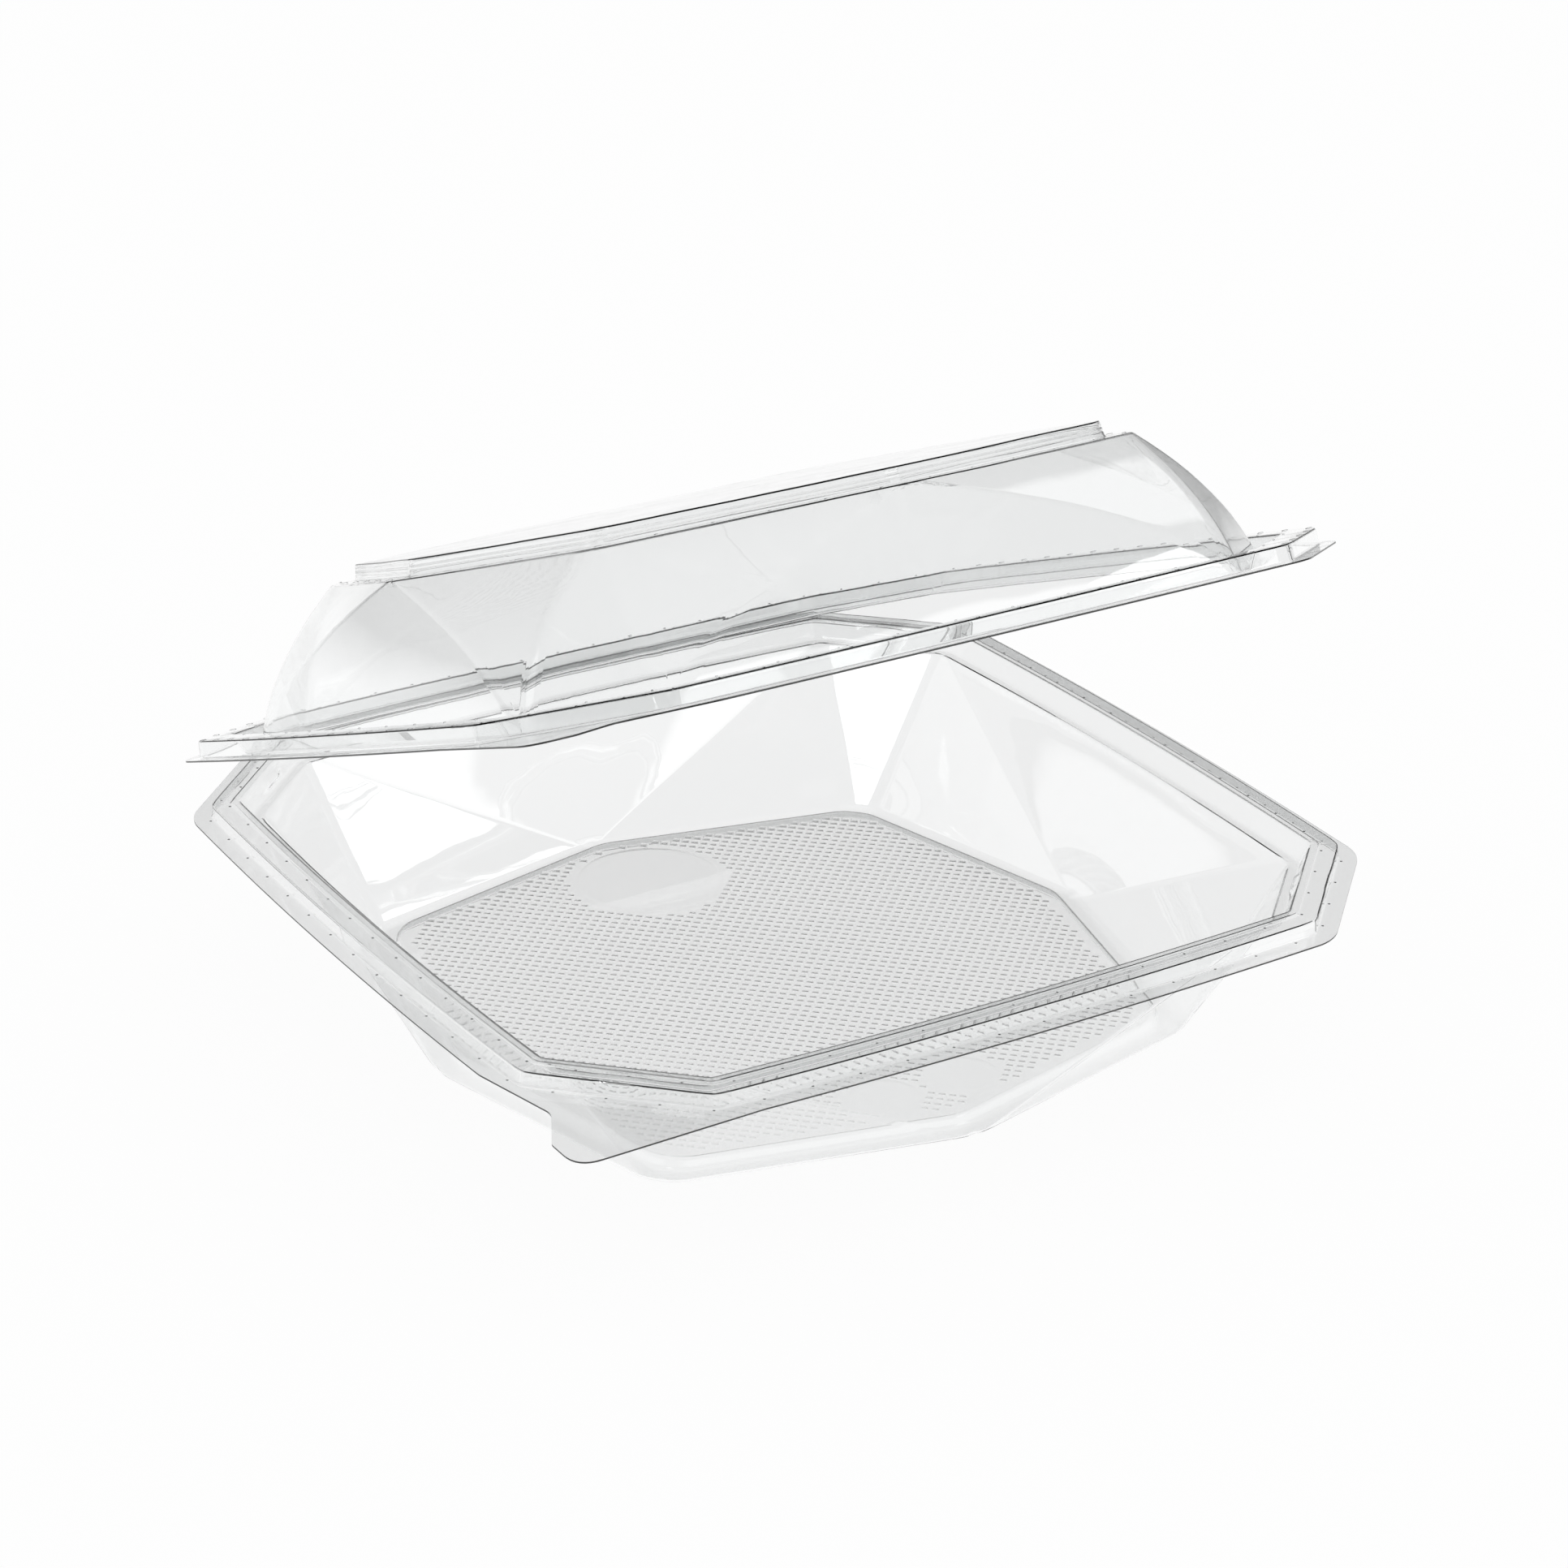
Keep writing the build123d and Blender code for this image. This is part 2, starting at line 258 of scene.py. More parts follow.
class LidSizes(bpy.types.PropertyGroup):
    """Levels and insets of the lid's upper side, closed; insets are taken from the tray's land."""

    flange_z: length("Flange level", 40.6, "Top of the flange above the table")
    land_z: length("Land level", 44.7, "Top of the channel over the tray's bead")
    valley_z: length("Valley level", 39.7, "Bottom of the groove round the dome")
    shoulder_z: length("Shoulder level", 75.8, "Top of the dome's facets")
    platform_z: length("Platform level", 79.8, "Top of the platform")
    riser_inset: length("Riser inset", -1.0, "Outline of the riser's foot")
    land_inset: length("Land inset", -0.7, "Outline of the riser's top")
    plug_inset: length("Plug inset", 7.3, "Outline of the plug's top")
    plug_foot_inset: length("Plug foot inset", 9.7, "Outline of the plug's foot")
    plug_cut: length("Plug cut", 0.7, "Extra cut of its corners")
    dome_inset: length("Dome inset", 12.9, "Outline of the dome's foot")
    valley_round: length("Valley rounding", 0.7, "Rounding of the dome's foot")
    dome_fullness: share("Dome fullness", 0.17, "Outward bulge of the facets")
    shoulder_mid: length("Shoulder, corners", 89.0, "From the middle to its corners")
    shoulder_diagonal: length("Shoulder, flats", 102.0, "From the middle to its short flats")
    shoulder_round: length("Shoulder rounding", 0.8, "Rounding of the shoulder")
    platform_step: length("Platform step", 5.4, "Width of the shoulder round the platform")
    platform_draft: length("Platform draft", 0.6, "Run of the platform's side")
    groove: length("Groove", 0.12, "Depth of the lines round the platform")


class MarkSizes(bpy.types.PropertyGroup):
    """Small marks that the mould leaves along the creases."""

    spacing: length("Spacing", 12.0, "From one mark to the next")
    dot: length("Dot", 0.65, "Width of a round mark")
    tick: length("Tick", 2.0, "Length of a long mark")
    height: length("Height", 0.15, "How far a mark stands out")


class SheetFinishAndEdgeShade(bpy.types.PropertyGroup):
    """Finish of the clear sheet, and the painted dark shade on its sheared edge."""

    tint: colour("Tint", (0.965, 0.97, 0.97), "Colour of the sheet")
    # Painted shade: the sheared edge is tinted dark to stand in for the dark line that light bent inside
    # the sheet gives it.
    edge_painted_shade: colour("Edge tint", (0.2, 0.205, 0.205), "Colour of the sheared edge")
    edge_roughness: share("Edge roughness", 0.3, "Roughness of the sheared edge")
    shadow: share("Shadow", 0.9, "Light that reaches the table through the sheet")
    roughness: share("Roughness", 0.0, "Roughness of the sheet's faces")
    ripple: number("Ripple", 0.15, "Strength of the fine ripples", min=0)


class Studio(bpy.types.PropertyGroup):
    """Camera, table and lights."""

    camera_place: FloatVectorProperty(
        name="Camera", description="Where the camera stands", default=(-0.4841, -0.8028, 0.4808),
        size=3, subtype="TRANSLATION", unit="LENGTH",
    )
    camera_turn: number("Camera turn", math.radians(-31.31), "Bearing of its view from Y", subtype="ANGLE")
    camera_dip: number("Camera dip", math.radians(24.48), "How far it looks down", subtype="ANGLE")
    lens: number("Lens", 97.1, "Focal length in millimetres", unit="CAMERA")
    table_half: length("Table", 6000.0, "From its middle to its edges")
    table_matt: share("Table matt", 0.9, "Its grey where the lamp lights it")
    table_white: share("Table white", 0.95, "Share of its white that needs no lamp")
    table_mirrored: share("Table mirrored", 1.0, "Its grey as mirrored")
    table_far: share("Table far off", 0.18, "Its grey as mirrored, far from the pack")
    horizon: share("Horizon", 0.55, "Grey of the studio's walls as mirrored")
    middle: share("Middle", 0.04, "Grey of the studio halfway up")
    ceiling: share("Ceiling", 0.3, "Grey of the studio's ceiling")
    bent: share("Bent", 0.28, "Grey of what the pack bends in from beside the white")


def bezier(start, control, end, t):
    """Points on a quadratic curve."""
    t = np.asarray(t)[..., None]
    return (1 - t) ** 2 * start + 2 * t * (1 - t) * control + t**2 * end


def smooth_step(low, high, value):
    """0 below low, 1 above high and a smooth rise between."""
    t = np.clip((value - low) / (high - low), 0, 1)
    return t * t * (3 - 2 * t)


def ring(z, side, corner, control, bow, bow_end, ridge):
    """Closed outline at one level, with as many points as any other.

    side ends a long side and corner starts a cut corner, both in the first half quadrant. They
    are joined by a line, or by a curve if there is a control point. bow is how far the middle
    of a side stands out, and bow_end where that dies out. Corners are rounded over a ridge's
    length to either side.
    """
    if control is None:
        across = (corner - side)[::-1] * np.array([1, -1])
        control = (side + corner) / 2 + SLOPE_BULGE * across / np.linalg.norm(across)

    def side_point(y):
        y = np.asarray(y, float)
        return np.stack([side[0] + bow * (1 - (y / bow_end) ** 2), y], -1)

    def slope(t):
        return bezier(side, control, corner, t)

    run = np.linalg.norm(corner - side)
    nip = min(ridge, SIDE_SHARE * run) / run
    start = side[1] - min(ridge, SIDE_SHARE * side[1])
    half_cut = (corner[0] - corner[1]) / math.sqrt(2)
    cut_start = corner + min(ridge, CUT_SHARE * half_cut) * np.array([-1, 1]) / math.sqrt(2)
    steps = np.linspace(0, 1, CORNER_STEPS + 1)
    first = np.concatenate([
        bezier(side_point(start), side_point(side[1]), slope(nip), steps),
        slope(np.linspace(nip, 1 - nip, NICK_STEPS + 1)[1:-1]),
        bezier(slope(1 - nip), corner, cut_start, steps),
    ])
    cut = np.linspace(0, 1, CUT_STEPS + 1)[1:-1]
    cut = (cut + CUT_CROWDING * np.sin(2 * math.pi * cut))[:, None]
    middle = cut_start + (cut_start[::-1] - cut_start) * cut + CUT_BULGE * np.sin(math.pi * cut)
    top = side_point(np.linspace(start, -start, SIDE_STEPS + 1)[1:-1])[:, ::-1]
    quarter = np.concatenate([first, middle, first[::-1, ::-1], top])
    flat = np.concatenate([
        quarter @ np.array([[c, s], [-s, c]]) for c, s in ((1, 0), (0, 1), (-1, 0), (0, -1))
    ])
    return np.column_stack([flat, np.full(len(flat), z)])


def rim_ring(rim, z, inset, rounding, extra_cut=0.0):
    """Outline of the rim at one level: bowed sides, cut corners and rounded joints."""
    half = rim.land_half - inset
    reach = half - rim.corner_cut + inset * CUT_GAIN - extra_cut
    run = rounding * OCTAGON_TURN
    control = np.array([half, reach])
    corner = control + run * np.array([-1, 1]) / math.sqrt(2)
    side = control - np.array([0, run])
    return ring(z, side, corner, control, rim.side_bow, reach, RIM_EASE * rounding)


def base_corners(rim, mid, diagonal, inset=0.0):
    """The base's two corners in the first half quadrant, moved in by an inset, and their edge."""
    side = np.array([mid, rim.mid_flat / 2])
    corner = np.array([diagonal + rim.corner_flat / 2, diagonal - rim.corner_flat / 2]) / math.sqrt(2)
    edge = (corner - side) / np.linalg.norm(corner - side)
    side = side - np.array([inset / edge[1], 0])
    corner = corner - inset / (edge[1] - edge[0])
    return side, corner, edge


def wall_ring(rim, z, part, inset, mid, diagonal):
    """Outline of a faceted wall: part 0 is its rim and part 1 its base."""
    base_side, base_corner, edge = base_corners(rim, mid, diagonal)
    half = rim.land_half - inset
    reach = half - rim.corner_cut + inset * CUT_GAIN
    rim_side = np.array([half, reach - rim.nick * edge.sum()])
    rim_corner = rim_side + edge * rim.nick
    side = rim_side + (base_side - rim_side) * part
    corner = rim_corner + (base_corner - rim_corner) * part
    bow = rim.side_bow * (side[1] / rim_side[1]) ** 2
    return ring(z, side, corner, None, bow, side[1], rim.ridge)


def base_ring(rim, z, inset, mid, diagonal):
    """Outline of a wall's base, moved in by an inset."""
    side, corner, _edge = base_corners(rim, mid, diagonal, inset)
    return ring(z, side, corner, None, 0.0, side[1], rim.ridge)


def rounded_profile(keys):
    """Rings from key to key, with a rounding at each crease."""
    rings = [keys[0].points]
    for before, key, after in zip(keys, keys[1:], [*keys[2:], None]):
        curve = [key.points]
        if key.rounding:
            ends = []
            for other in (before.points, after.points):
                way = other - key.points
                size = np.linalg.norm(way, axis=1, keepdims=True)
                ends.append(key.points + way / size * np.minimum(key.rounding, SIDE_SHARE * size))
            steps = np.linspace(0, 1, key.steps + 1)
            curve = [bezier(ends[0], key.points, ends[1], t) for t in steps]
        way = curve[0] - rings[-1]
        count = math.ceil(np.linalg.norm(way, axis=1).max() / before.gap)
        rings += [rings[-1] + way * part for part in np.linspace(0, 1, count + 1)[1:-1]] + curve
    return rings


def waved(rings, depth, low, high, inwards):
    """The rings with slow waves pressed into the facets between two levels."""
    grid = np.array(rings)
    around = np.roll(grid, -1, axis=1) - np.roll(grid, 1, axis=1)
    normal = np.cross(around, np.gradient(grid, axis=0))
    normal /= np.linalg.norm(normal, axis=2, keepdims=True)
    x, y, z = np.moveaxis(grid, 2, 0)
    swell = sum(part * np.sin(a * x + b * y + c * z + start) for a, b, c, start, part in WAVES)
    mask = smooth_step(low, low + WAVE_GROWTH, z) * (1 - smooth_step(high - WAVE_END, high, z))
    push = depth * (0.5 + swell / WAVE_TOTAL) * mask * inwards
    return list(grid + normal * push[..., None])


def rounded_outline(corners):
    """Closed outline through rounded corners: x, y, radius and whether the next side is bowed."""
    curves = []
    for index, (x, y, radius, _bowed) in enumerate(corners):
        here = np.array([x, y])
        back = np.array(corners[index - 1][:2]) - here
        ahead = np.array(corners[(index + 1) % len(corners)][:2]) - here
        back, ahead = back / np.linalg.norm(back), ahead / np.linalg.norm(ahead)
        run = radius / math.tan(math.acos(np.clip(back @ ahead, -1, 1)) / 2)
        steps = np.linspace(0, 1, OUTLINE_STEPS + 1)
        curves.append(bezier(here + back * run, here, here + ahead * run, steps))
    points = []
    for curve, after, (_x, _y, _radius, bowed) in zip(curves, curves[1:] + curves[:1], corners):
        points += list(curve)
        if bowed:
            way = after[0] - curve[-1]
            parts = math.ceil(np.linalg.norm(way) / OUTLINE_GAP)
            points += [curve[-1] + way * part / parts for part in range(1, parts)]
    return np.array(points)


def flange_outline(rim, notch_on_left):
    """Cut edge of a flange, with its fold line at the back and its finger tab in front."""
    half = rim.land_half + rim.riser_lean + rim.flange_width
    reach = half - rim.corner_cut - (rim.riser_lean + rim.flange_width) * CUT_GAIN
    fold_y = half + rim.side_bow + rim.fold_margin
    fold_reach = reach - (fold_y - half)
    tip = half + rim.tab_reach
    tab_start = tip - rim.tab_length
    outer = 2 * rim.outer_round
    tab = [
        (-tip + rim.notch_depth, -tip + rim.notch_place, rim.notch_round, False),
        (-tip, -tip + rim.swell_place, rim.notch_round / 2, False),
        (-tip, -tip, rim.tab_round, False),
    ]
    if not notch_on_left:
        tab = [(y, x, radius, False) for x, y, radius, _bowed in reversed(tab)]
    corners = [
        (half, -reach, outer, True), (half, reach, outer, False),
        (fold_reach, fold_y, rim.nick, False), (-fold_reach, fold_y, rim.nick, False),
        (-half, reach, outer, True), (-half, -tab_start, outer, False), *tab,
        (-tab_start, -half, outer, True), (reach, -half, outer, False),
    ]
    points = rounded_outline(corners)
    for point in points:
        x, y = point
        if abs(y) < min(reach, abs(x)):
            point[0] += math.copysign(rim.side_bow * (1 - (y / reach) ** 2), x)
        elif abs(x) < reach and y < 0:
            point[1] -= rim.side_bow * (1 - (x / reach) ** 2)
    return points


def inside(polygon, points):
    """Which points lie inside a closed outline."""
    start, end = polygon, np.roll(polygon, -1, axis=0)
    x, y = points[:, None, 0], points[:, None, 1]
    crosses = (start[:, 1] > y) != (end[:, 1] > y)
    with np.errstate(divide="ignore", invalid="ignore"):
        at = start[:, 0] + (y - start[:, 1]) * (end[:, 0] - start[:, 0]) / (end[:, 1] - start[:, 1])
    return (crosses & (x < at)).sum(axis=1) % 2 == 1


def fill_flat(bm, edges, keep):
    """Flat triangles between the vertices of these edges, where keep says so of their middles."""
    verts = list(dict.fromkeys(vert for edge in edges for vert in edge))
    place = {vert: index for index, vert in enumerate(verts)}
    flat = [Vector(vert.co.xy) for vert in verts]
    bounds = [(place[a], place[b]) for a, b in edges]
    points, _edges, faces, origins = delaunay_2d_cdt(flat, bounds, [], 0, 1e-9)[:4]
    middles = np.array([np.mean([points[i] for i in face], axis=0) for face in faces])
    for face, wanted in zip(faces, keep(middles)):
        if wanted:
            bm.faces.new([verts[origins[i][0]] for i in face])


def loop_edges(verts):
    """The edges of a closed loop of vertices."""
    return list(zip(verts, verts[1:] + verts[:1]))


def bands(bm, rows):
    """Faces between closed rows of vertices, from each to the next."""
    for outer, inner in zip(rows, rows[1:]):
        for (a, b), (c, d) in zip(loop_edges(outer), loop_edges(inner)):
            bm.faces.new([a, b, d, c])


def circle(steps):
    """Points round a circle of radius 1."""
    turns = 2 * math.pi * np.arange(steps) / steps
    return np.column_stack([np.cos(turns), np.sin(turns)])


def placed(name, data):
    """A new object in the scene that shows this data."""
    item = bpy.data.objects.new(name, data)
    bpy.context.scene.collection.objects.link(item)
    return item


def made_mesh(bm, name, *materials):
    """The mesh in the making as a mesh with these materials."""
    mesh = bpy.data.meshes.new(name)
    bm.to_mesh(mesh)
    bm.free()
    for material in materials:
        mesh.materials.append(material_for(material))
    return mesh


def apply_modifiers(piece):
    """Turns what the modifiers make of a piece into its mesh."""
    graph = bpy.context.evaluated_depsgraph_get()
    made = bpy.data.meshes.new_from_object(piece.evaluated_get(graph))
    made.name = piece.name
    piece.modifiers.clear()
    piece.data = made


def formed_shell(name, rings, outline, thickness):
    """Mesh through the rings, with a flat flange outside them, given the sheet's thickness."""
    bm = bmesh.new()
    rows = [[bm.verts.new(point) for point in points] for points in rings]
    bands(bm, rows)
    edge = [bm.verts.new((x, y, rings[0][0][2])) for x, y in outline]
    crease = rings[0][:, :2]

    def on_flange(points):
        return inside(outline, points) & ~inside(crease, points)

    fill_flat(bm, loop_edges(edge) + loop_edges(rows[0]), on_flange)
    bm.faces.new(rows[-1])
    shell = placed(name, made_mesh(bm, name, "clear_film", "cut_edge"))
    solid = shell.modifiers.new("sheet", "SOLIDIFY")
    solid.thickness = thickness
    solid.offset = -1
    solid.use_even_offset = True
    solid.use_quality_normals = True
    solid.material_offset_rim = 1
    apply_modifiers(shell)
    return shell


def shade(piece):
    """Smooth shading with sharp edges at the cuts, and flat facets kept flat."""
    mesh = piece.data
    mesh.shade_smooth()
    mesh.set_sharp_from_angle(angle=SHARP_EDGE)
    weighted = piece.modifiers.new("weighted", "WEIGHTED_NORMAL")
    weighted.keep_sharp = True
    apply_modifiers(piece)


def outside_of(discs, points, gap, part=1.0):
    """Which points lie outside all of the discs with a gap, or outside this part of them."""
    x, y, radius = np.array(discs).T
    return (np.hypot(points[:, :1] - x, points[:, 1:] - y) > (radius + gap) * part).all(axis=1)


def raised_squares(bm, tray, floor_z, cells, axes):
    """The texture's small squares, one in each cell; gives the edges round the whole field."""
    nodes, uses = {}, Counter()
    for cell in sorted(cells):
        places = [(cell[0] + i, cell[1] + j) for i, j in SQUARE]
        for place in places:
            if place not in nodes:
                nodes[place] = bm.verts.new((*(np.array(place) * tray.dimple_pitch @ axes), floor_z))
        uses.update(tuple(sorted(edge)) for edge in loop_edges(places))
        rows = [[nodes[place] for place in places]]
        middle = (np.array(cell) + 0.5) * tray.dimple_pitch
        for width, height in ((tray.dimple_base, 0.0), (tray.dimple_top, tray.dimple_height)):
            flat = [(middle + (np.array(corner) - 0.5) * width) @ axes for corner in SQUARE]
            rows.append([bm.verts.new((*point, floor_z + height)) for point in flat])
        bands(bm, rows)
        bm.faces.new(rows[-1])
    return [(nodes[a], nodes[b]) for (a, b), count in sorted(uses.items()) if count == 1]


def sunken_disc(bm, x, y, radius, floor_z, step):
    """Plain disc that lies a step below the floor; gives the edges round it."""
    rows = []
    for size, drop in ((radius + DISC_MARGIN, 0.0), (radius, 0.0), (radius - DISC_SLOPE, step)):
        flat = circle(DISC_STEPS) * size + (x, y)
        rows.append([bm.verts.new((*point, floor_z - drop)) for point in flat])
    bands(bm, rows)
    bm.faces.new(rows[-1])
    return loop_edges(rows[0])


def dimpled_floor(piece, tray, floor_z):
    """Replaces the flat top of the raised floor by its texture of small squares and plain discs."""
    bm = bmesh.new()
    bm.from_mesh(piece.data)
    top = max(bm.faces, key=lambda face: (len(face.verts), face.verts[0].co.z))
    border = loop_edges(list(top.verts))
    outline = np.array([vert.co.xy for vert in top.verts])
    bmesh.ops.delete(bm, geom=[top], context="FACES_ONLY")
    discs = [(0.0, tray.disc_place, tray.disc_radius)]
    for side in (-1, 1):
        discs.append((side * tray.small_disc_spread, -tray.small_disc_place, tray.small_disc_radius))
    pitch = tray.dimple_pitch
    axes = np.array([[1, 1], [-1, 1]]) / math.sqrt(2)
    reach = math.ceil(np.abs(outline).max() * math.sqrt(2) / pitch)
    cells = np.mgrid[-reach:reach, -reach:reach].reshape(2, -1).T
    wanted = np.ones(len(cells), bool)
    for corner in SQUARE:
        points = (cells + corner) * pitch @ axes
        wanted &= inside(outline * TEXTURE_SHARE, points) & outside_of(discs, points, DISC_GAP)
    kept = set(map(tuple, cells[wanted].tolist()))
    edges = border + raised_squares(bm, tray, floor_z, kept, axes)
    for x, y, radius in discs:
        edges += sunken_disc(bm, x, y, radius, floor_z, tray.disc_step)

    def between(points):
        local = np.floor(points @ axes.T / pitch).astype(int)
        free = inside(outline, points) & outside_of(discs, points, DISC_MARGIN, CHORD_SHARE)
        return free & [tuple(cell) not in kept for cell in local]

    fill_flat(bm, edges, between)
    bm.to_mesh(piece.data)
    bm.free()


class NodeMaker:
    """Short ways to fill a node tree: inputs are set, or linked if they are given a socket."""

    def __init__(self, tree):
        self.tree = tree
        tree.nodes.clear()

    def add(self, kind, inputs=(), **settings):
        """A new node."""
        node = self.tree.nodes.new(kind)
        for name, value in settings.items():
            setattr(node, name, value)
        for name, value in dict(inputs).items():
            if isinstance(value, bpy.types.NodeSocket):
                self.tree.links.new(value, node.inputs[name])
            else:
                node.inputs[name].default_value = value
        return node

    def math(self, operation, first, second=0.0):
        """What a Math node makes of two numbers."""
        return self.add("ShaderNodeMath", {0: first, 1: second}, operation=operation).outputs[0]

    def mapped(self, value, low, high, start, end, **settings):
        """A value's way from low to high as the way from start to end."""
        span = {"Value": value, "From Min": low, "From Max": high, "To Min": start, "To Max": end}
        return self.add("ShaderNodeMapRange", span, **settings).outputs["Result"]

    def mixed(self, part, first, second):
        """The first number where part is 0 and the second where it is 1."""
        return self.add("ShaderNodeMix", {0: part, 2: first, 3: second}).outputs[0]


def studs(bm, points, spacing, size, height, turn):
    """Small raised marks along a closed line; size is half their length along and across it."""
    closed = np.vstack([points, points[:1]])
    run = np.concatenate([[0], np.cumsum(np.linalg.norm(np.diff(closed, axis=0), axis=1))])
    count = round(run[-1] / spacing)
    for place in (np.arange(count) + 0.5) * run[-1] / count:
        at, ahead = (
            np.array([np.interp(spot, run, axis) for axis in closed.T])
            for spot in (place, place + STUD_AHEAD)
        )
        bearing = math.atan2(ahead[1] - at[1], ahead[0] - at[0]) + turn
        c, s = math.cos(bearing), math.sin(bearing)
        turned = circle(STUD_STEPS) * size @ np.array([[c, s], [-s, c]])
        rows = [
            [bm.verts.new((*(at[:2] + point * width), at[2] + rise * height)) for point in turned]
            for width, rise in STUD_LEVELS
        ]
        bands(bm, rows)
        bm.faces.new(rows[0][::-1])
        bm.faces.new(rows[-1])


def finish_piece(bm, name, rides, turn=Matrix()):
    """Turns a mesh in the making into a clear piece, which rides a body if one is given."""
    mesh = made_mesh(bm, name, "clear_film")
    mesh.transform(turn)
    mesh.shade_smooth()
    mesh.set_sharp_from_angle(angle=SHARP_EDGE)
    piece = placed(name, mesh)
    if rides:
        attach(piece, rides)
    return piece


def raised_lid():
    """The turn about the fold that takes the closed lid to where it rests."""
    fold = Vector(hinge["pos_m"])
    lift = math.radians(hinge["range_deg"][0])
    return Matrix.Translation(fold) @ Matrix.Rotation(lift, 4, "X") @ Matrix.Translation(-fold)


def node_group(name, vectors, numbers, result):
    """A node group that turns vectors and numbers into one number, and its nodes' maker."""
    group = bpy.data.node_groups.new(name, "ShaderNodeTree")
    for kind, names in (("NodeSocketVector", vectors), ("NodeSocketFloat", numbers)):
        for entry in names:
            group.interface.new_socket(entry, in_out="INPUT", socket_type=kind)
    group.interface.new_socket(result, in_out="OUTPUT", socket_type="NodeSocketFloat")
    return group, NodeMaker(group)


def sheet_group():
    """Node group of the formed sheet: fine ripples in its surface."""
    group, nodes = node_group("formed_sheet", (), ("Ripple",), "Height")
    place = nodes.add("ShaderNodeTexCoord").outputs["Object"]
    ripples = nodes.add("ShaderNodeTexNoise", {"Vector": place, "Scale": RIPPLE_SCALE, "Detail": 1.0})
    strength = nodes.add("NodeGroupInput").outputs["Ripple"]
    height = nodes.math("MULTIPLY", ripples.outputs["Fac"], strength)
    nodes.add("NodeGroupOutput", {"Height": height})
    return group


def clear_sheet(nodes, tint, roughness, ripple, shadow):
    """Mix of a clear sheet that bends light, and of what lets the lamp's light through it."""
    group = bpy.data.node_groups.get("formed_sheet") or sheet_group()
    relief = nodes.add("ShaderNodeGroup", {"Ripple": ripple}, node_tree=group)
    bump = nodes.add("ShaderNodeBump", {"Height": relief.outputs["Height"], "Distance": RIPPLE_DEPTH})
    surface = nodes.add(
        "ShaderNodeBsdfPrincipled",
        {
            "Base Color": (*tint, 1), "Roughness": roughness, "Transmission Weight": 1.0,
            "IOR": SHEET_IOR, "Normal": bump.outputs["Normal"],
        },
    )
    through = nodes.add("ShaderNodeBsdfTransparent", {"Color": (*[shadow] * 3, 1)})
    shadowed = nodes.add("ShaderNodeLightPath").outputs["Is Shadow Ray"]
    return {0: shadowed, 1: surface.outputs[0], 2: through.outputs[0]}


def white_table(nodes, studio):
    """Mix of a matt white table and of its own glow, greyer where the pack mirrors it."""
    path = nodes.add("ShaderNodeLightPath").outputs
    spot = nodes.add("ShaderNodeNewGeometry").outputs
    dip = nodes.add("ShaderNodeSeparateXYZ", {0: spot["Incoming"]}).outputs["Z"]
    bent = nodes.mapped(dip, *TABLE_BENT, 1.0, studio.bent)
    seen = nodes.mixed(path["Is Camera Ray"], bent, 1.0)
    off = nodes.add("ShaderNodeVectorMath", {0: spot["Position"]}, operation="LENGTH").outputs["Value"]
    far = nodes.mapped(off, *TABLE_FADE, studio.table_mirrored, studio.table_far)
    mirrored = nodes.math("GREATER_THAN", path["Glossy Depth"], 0.5)
    glow = nodes.add("ShaderNodeEmission", {"Strength": nodes.mixed(mirrored, seen, far)})
    matt = nodes.add("ShaderNodeBsdfDiffuse", {"Color": (*[studio.table_matt] * 3, 1)})
    lit = nodes.math("SUBTRACT", 1.0, path["Is Diffuse Ray"])
    part = nodes.math("MULTIPLY", nodes.mixed(mirrored, studio.table_white, 1.0), lit)
    return {0: part, 1: matt.outputs[0], 2: glow.outputs[0]}


def material_for(name):
    """The clear film, its sheared edge in painted dark shade, or the table, made when it is first asked
    for.
    """
    if name in bpy.data.materials:
        return bpy.data.materials[name]
    finish_and_edge_shade = bpy.context.scene.pack_finish
    material = bpy.data.materials.new(name)
    material.use_nodes = True
    nodes = NodeMaker(material.node_tree)
    if name == "clear_film":
        shaders = clear_sheet(nodes, finish_and_edge_shade.tint, finish_and_edge_shade.roughness, finish_and_edge_shade.ripple, finish_and_edge_shade.shadow)
    elif name == "cut_edge":
        # The sheared edge gets the dark tint of painted shade instead of a clear tint.
        shaders = clear_sheet(nodes, finish_and_edge_shade.edge_painted_shade, finish_and_edge_shade.edge_roughness, 0.0, finish_and_edge_shade.shadow)
    else:
        shaders = white_table(nodes, bpy.context.scene.pack_studio)
    mix = nodes.add("ShaderNodeMixShader", shaders)
    nodes.add("ShaderNodeOutputMaterial", {"Surface": mix.outputs[0]})
    return material


